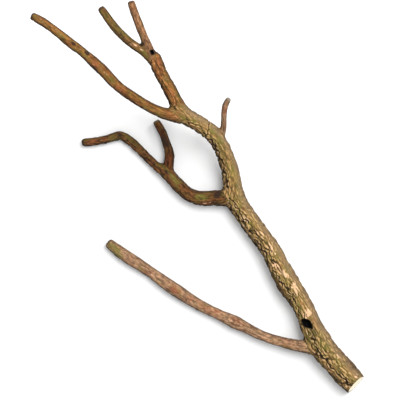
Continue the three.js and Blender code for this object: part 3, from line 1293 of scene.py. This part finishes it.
    def _tones(self, skin: Skin) -> Layers:
        """Works out the bark's colours, how many specks it has, and how much painted shade darkens its
        sides.

        Args:
            skin: The branch's skin.

        Returns:
            The layers.
        """
        tones = [limb.tone for limb in self.limbs]
        parts = {"ridge": "ridge", "hollow": "hollow", "crack": "crack", "tip_tone": "tip"}
        layers = {name: [linear(getattr(tone, part)) for tone in tones] for name, part in parts.items()}
        layers |= {name: [getattr(tone, name) for tone in tones] for name in ("speck", "edge")}
        return {name: skin.blend(values) for name, values in layers.items()}

    def _patches(self, skin: Skin) -> Layers:
        """Works out how mossy, bare, stained, rusty and smooth the bark is; one stain is painted shade
        round the rotted stub.

        Args:
            skin: The branch's skin.

        Returns:
            The layers, one for each mark.
        """
        plan = skin.places[:, :2] / MM
        marks = {mark.value: np.zeros(len(plan)) for mark in Mark}
        marks["moss"] = skin.blend([limb.tone.moss for limb in self.limbs])
        for patch in self.patches:
            name = patch.mark.value
            marks[name] = np.maximum(marks[name], patch.cover(plan) * skin.facing_up)
        return marks

    def _furrows(self, skin: Skin, smooth: Array) -> Layers:
        """How deeply the bark is furrowed, how much painted shade darkens its sides and gullies, and how
        grey the stem's right flank is.

        Args:
            skin: The branch's skin.
            smooth: How smooth the bark is, from 0 to 1.

        Returns:
            The layers.
        """
        aside, upward = skin.normals[:, 0], skin.normals[:, 2]
        on_stem = skin.owner == 0
        # The cracks gape on the stem's left flank, the side away from the light, and are tight on its
        # right; their dark colour there is partly painted shade.
        flank = ease(aside, 0.35, -0.35)
        furrow = skin.blend([limb.furrow for limb in self.limbs])
        furrow = furrow * (1 - 0.7 * smooth)
        furrow = furrow * (0.6 + 0.4 * flank)
        gully = np.zeros(len(aside))
        rise = -1.8 * (self._ring_crack(skin.places) * on_stem)
        for line in self.gullies:
            near = line.nearness(skin.places / MM) * (skin.facing_up * on_stem)
            gully = np.maximum(gully, near)
            rise = np.minimum(rise, -line.depth * near)
        return {
            "furrow": furrow,
            "crackle": furrow * (0.25 + 0.75 * flank),
            # Painted shade in the deep gullies.
            "gully": gully,
            "rise": rise,
            # The stem's right flank is tinted a paler, greyer brown.
            "right_flank_grey": skin.share[0] * ease(aside, 0.15, 0.75),
            # Painted shade: the undersides, and the sides that turn from the light, most on the left
            # flank.
            "underside": ease(upward, 0.9, 0.15) * (0.65 + 0.35 * flank),
            "side": ease(upward, 0.98, 0.45) * (0.75 + 0.25 * flank),
        }

    def _ring_crack(self, places: Array) -> Array:
        """How deep each vertex lies in the crack round the upper stem.

        Args:
            places: The vertices.

        Returns:
            From 0 to 1 for each vertex.
        """
        spine = self.spines[self.stem.name]
        at = np.array([*self.ring.at, 0]) * MM
        start = int(np.linalg.norm(spine.points[:, :2] - at[:2], axis=1).argmin())
        away = (places - spine.points[start]) / MM
        along = away @ spine.along[start]
        across = away @ spine.side[start]
        wobble = 0.7 * np.sin(across * 0.9) + 0.4 * np.sin(across * 2.3 + 1)
        line = np.abs(along + self.ring.lean * across + wobble)
        near = np.linalg.norm(away, axis=1) < 1.6 * spine.radii[start] / MM
        return ease(line, self.ring.width * 1.6, self.ring.width * 0.4) * near

    def saw_through(self, wood: Piece) -> None:
        """Parts every side limb from its bearer, and the waste from the butt.

        Args:
            wood: The branch.
        """
        for limb in self.side_limbs:
            spine = self.spines[limb.name]
            at = spine.index(limb.cut)
            away = Shop.rows(wood.data.polygons, "center") - spine.points[at]
            # Only the faces within 4 mm of the cut, and hardly wider than the limb, are sawn.
            near = np.abs(away @ spine.along[at]) < 4 * MM
            near &= np.linalg.norm(away, axis=1) < 1.6 * spine.radii[at] + 1.5 * MM
            Shop.select_faces(wood, near)
            bpy.ops.mesh.bisect(plane_co=spine.points[at], plane_no=spine.along[at], threshold=self.saw)
            bpy.ops.mesh.select_mode(type="EDGE")
            bpy.ops.mesh.edge_split(type="EDGE")
            Shop.mode("OBJECT")
        self.saw_butt(wood)

    def saw_butt(self, wood: Piece) -> None:
        """Saws the butt off at its slant and leaves the pale wood bare.

        Args:
            wood: The branch.
        """
        end, inner = (Vector(knot[:3]) * MM for knot in self.stem.path[:2])
        outward = Vector((end.x - inner.x, end.y - inner.y, 0)).normalized()
        tilt = math.radians(self.butt_tilt)
        normal = outward * math.cos(tilt) + Vector((0, 0, math.sin(tilt)))
        middle = end.lerp(inner, self.butt_trim)
        away = Shop.rows(wood.data.polygons, "center") - np.array(middle)
        # Only the end of the stem is sawn, so that no limb is reached.
        Shop.select_faces(wood, np.linalg.norm(away, axis=1) < 45 * MM)
        plane = {"plane_co": middle, "plane_no": normal}
        bpy.ops.mesh.bisect(**plane, use_fill=True, clear_outer=True, threshold=self.saw)
        Shop.mode("OBJECT")
        largest = max(wood.data.polygons, key=lambda face: face.area)
        largest.material_index = 1
        chosen = np.zeros(len(wood.data.polygons), dtype=bool)
        chosen[largest.index] = True
        Shop.select_faces(wood, chosen)
        bpy.ops.mesh.region_to_loop()
        bpy.ops.mesh.mark_sharp()
        Shop.mode("OBJECT")

    def take_apart(self, wood: Piece) -> dict[str, Piece]:
        """Separates the sawn limbs and closes each sawn face.

        Args:
            wood: The branch, sawn through at its forks.

        Returns:
            The pieces under their limbs' names.
        """
        Shop.pick(wood)
        Shop.mode("EDIT")
        bpy.ops.mesh.separate(type="LOOSE")
        Shop.mode("OBJECT")
        pieces = {}
        parts = list(bpy.context.selected_objects)
        for limb in self.limbs:
            spine = self.spines[limb.name]
            # A place on this limb alone: near the stem's butt, or near a side limb's tip.
            share = 0.1 if limb is self.stem else 0.97
            mark = spine.points[spine.index(spine.length / MM * share)]
            away = [Shop.rows(part.data.vertices, "co") - mark for part in parts]
            gaps = [np.linalg.norm(gap, axis=1).min() for gap in away]
            pieces[limb.name] = parts[int(np.argmin(gaps))]
        for part in parts:
            if part not in pieces.values():
                log.warning("a loose crumb of %d faces is dropped", len(part.data.polygons))
                bpy.data.objects.remove(part)
        for name, piece in pieces.items():
            Shop.pick(piece)
            Shop.mode("EDIT")
            bpy.ops.mesh.select_mode(type="EDGE")
            bpy.ops.mesh.select_all(action="DESELECT")
            bpy.ops.mesh.select_non_manifold()
            bpy.ops.mesh.mark_sharp()
            bpy.ops.mesh.fill_holes(sides=0)
            Shop.face_outward()
            Shop.mode("OBJECT")
            bpy.ops.object.shade_smooth()
            piece.name = name + "_bark"
        return pieces

    def build(self) -> dict[str, Piece]:
        """Models the branch and dresses it.

        Returns:
            The pieces under their limbs' names.
        """
        self.spines = {limb.name: Spine(limb.path) for limb in self.limbs}
        tubes = [self.extrude_limb(limb) for limb in self.limbs]
        log.info("%d limbs extruded", len(tubes))
        wood = self.grow_together(tubes)
        self.cut_hollows(wood)
        log.info("grown together: %d faces", len(wood.data.polygons))
        self.describe(wood)
        self.relief.raise_on(wood)
        wood.data.materials.clear()
        wood.data.materials.append(self.bark.material())
        wood.data.materials.append(self.sawn.material())
        self.saw_through(wood)
        pieces = self.take_apart(wood)
        for limb in self.limbs:
            piece = pieces[limb.name]
            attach(piece, "root")
            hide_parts(limb.name)
            log.info("%s: %d faces", piece.name, len(piece.data.polygons))
        return pieces


@dataclass(frozen=True)
class SoftLight:
    """A round soft light that faces the branch.

    Attributes:
        direction: Where it hangs, seen from the branch.
        distance: How far off, in metres.
        size: Its diameter in metres.
        power: Its power in watts.
    """

    direction: Triple
    distance: float
    size: float
    power: float

    def hang(self) -> None:
        """Adds the light."""
        Shop.deselect()
        source = Vector(self.direction).normalized() * self.distance
        facing = source.to_track_quat("Z", "Y").to_euler()
        bpy.ops.object.light_add(type="AREA", location=source, rotation=facing)
        lamp = bpy.context.object.data
        lamp.shape = "DISK"
        lamp.size = self.size
        lamp.energy = self.power


@dataclass(frozen=True)
class Studio:
    """Pale ground, soft light from the upper right of the view, and a camera straight above.

    Attributes:
        aim: The place on the ground under the camera, in millimetres.
        height: The camera's height over the ground, in metres.
        roll: How far the view is turned, in degrees.
        lens: Focal length in millimetres.
        sensor: Width of the camera's sensor in millimetres.
        ground: The colour of the ground.
        ground_size: The sides of the ground, in metres.
        sunk: How far the ground lies under the branch, in metres.
        lights: The soft lights.
        sky: How bright the even sky is.
    """

    aim: Pair = (20.5, 5.0)
    height: float = 2.25
    roll: float = -32.0
    lens: float = 135.0
    sensor: float = 36.0
    ground: str = "#F4F4F4"
    ground_size: float = 12.0
    sunk: float = 0.0003
    lights: tuple[SoftLight, ...] = (
        SoftLight((0.4, 0.09, 0.91), 3.0, 1.8, 64.0),
        SoftLight((0.75, 0.17, 0.64), 2.4, 0.8, 16.0),
    )
    sky: float = 0.74

    def build(self) -> None:
        """Sets the ground, the lights and the camera."""
        scene = bpy.context.scene
        scene.view_settings.view_transform = "Standard"
        self.lay_ground()
        self.light()
        Shop.deselect()
        bpy.ops.object.camera_add(
            location=(self.aim[0] * MM, self.aim[1] * MM, self.height),
            rotation=(0, 0, math.radians(self.roll)),
        )
        camera = bpy.context.object
        camera.data.lens = self.lens
        camera.data.sensor_width = self.sensor
        scene.camera = camera

    def lay_ground(self) -> None:
        """Lays the pale ground under the branch."""
        Shop.deselect()
        bpy.ops.mesh.primitive_plane_add(size=self.ground_size, location=(0, 0, -self.sunk))
        ground = bpy.context.object
        ground.name = "pale_ground"
        # Uncoated pale card: matt, with next to no shine.
        material, nodes, shader = start_material("pale_card")
        colour = linear(self.ground)
        nodes.fill(shader, {"Base Color": colour, "Roughness": 0.9, "Specular IOR Level": 0.1})
        ground.data.materials.append(material)
        ground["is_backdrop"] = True

    def light(self) -> None:
        """Sets the soft lights and the even sky."""
        for soft in self.lights:
            soft.hang()
        world = bpy.data.worlds.new("even_sky")
        world.use_nodes = True
        white = linear("#FFFFFF")
        background = world.node_tree.nodes["Background"]
        Nodes(world.node_tree).fill(background, {"Color": white, "Strength": self.sky})
        bpy.context.scene.world = world


def write_sizes() -> None:
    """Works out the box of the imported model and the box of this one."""
    boxes = {"cad": cad_box, "visual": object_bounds()}
    boxes = {name: [list(corner) for corner in box] for name, box in boxes.items()}


def main() -> None:
    """Builds the branch and the studio."""
    logging.basicConfig(level=logging.INFO, format="%(name)s: %(message)s")
    Studio().build()
    Branch().build()
    write_sizes()


if __name__ == "__main__":
    main()
